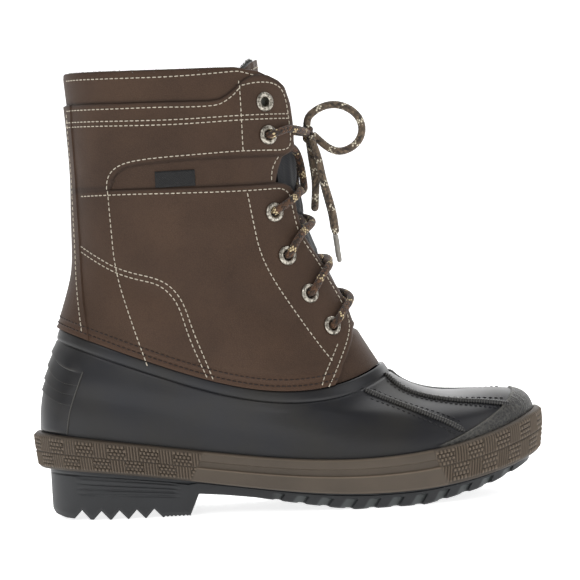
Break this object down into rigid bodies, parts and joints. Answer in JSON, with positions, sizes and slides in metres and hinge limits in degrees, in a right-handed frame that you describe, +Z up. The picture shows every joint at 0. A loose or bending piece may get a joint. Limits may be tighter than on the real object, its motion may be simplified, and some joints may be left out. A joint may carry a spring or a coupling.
{
  "type": "insulated boot",
  "caption": "Laced insulated boot: leather shaft with padded tongue over a moulded rubber shell, rand and lugged outsole, hollow for the foot.",
  "frame": {"origin": "centre of the boot's footprint, on the floor", "axes": "+X towards the toe, +Y towards the inner (medial) side, +Z up"},
  "size_m": [0.311, 0.1125, 0.2741],
  "materials": {
    "black_rubber": "semi-matte moulded",
    "brown_rubber": "matte moulded",
    "brown_leather": "oiled full grain",
    "tongue_nylon": "woven matte",
    "felt": "pressed felt",
    "aged_nickel": "antique, worn bright at the rim",
    "lace_cord": "round braid with light flecks",
    "clear_aglet": "clear sleeve",
    "black_weave": "fine weave"
  },
  "bodies": {
    "root": {"outsole": "black_rubber", "rubber_shell": "black_rubber", "rand": "brown_rubber", "leather_shaft": "brown_leather", "tongue": "tongue_nylon", "insole": "felt", "side_label": "black_weave", "eyelet_lateral_1": "aged_nickel", "eyelet_lateral_2": "aged_nickel", "eyelet_lateral_3": "aged_nickel", "eyelet_lateral_4": "aged_nickel", "eyelet_lateral_5": "aged_nickel", "eyelet_lateral_6": "aged_nickel", "eyelet_medial_1": "aged_nickel", "eyelet_medial_2": "aged_nickel", "eyelet_medial_3": "aged_nickel", "eyelet_medial_4": "aged_nickel", "eyelet_medial_5": "aged_nickel", "eyelet_medial_6": "aged_nickel", "lace_cross_1": "lace_cord", "lace_cross_2": "lace_cord", "lace_cross_3": "lace_cord", "lace_cross_4": "lace_cord", "lace_top_bar": "lace_cord", "lace_knot": "lace_cord", "lace_loop_front": "lace_cord", "lace_loop_drop": "lace_cord", "lace_end_lateral": "lace_cord", "lace_end_medial": "lace_cord", "aglet_lateral": "clear_aglet", "aglet_medial": "clear_aglet"}
  },
  "joints": []
}
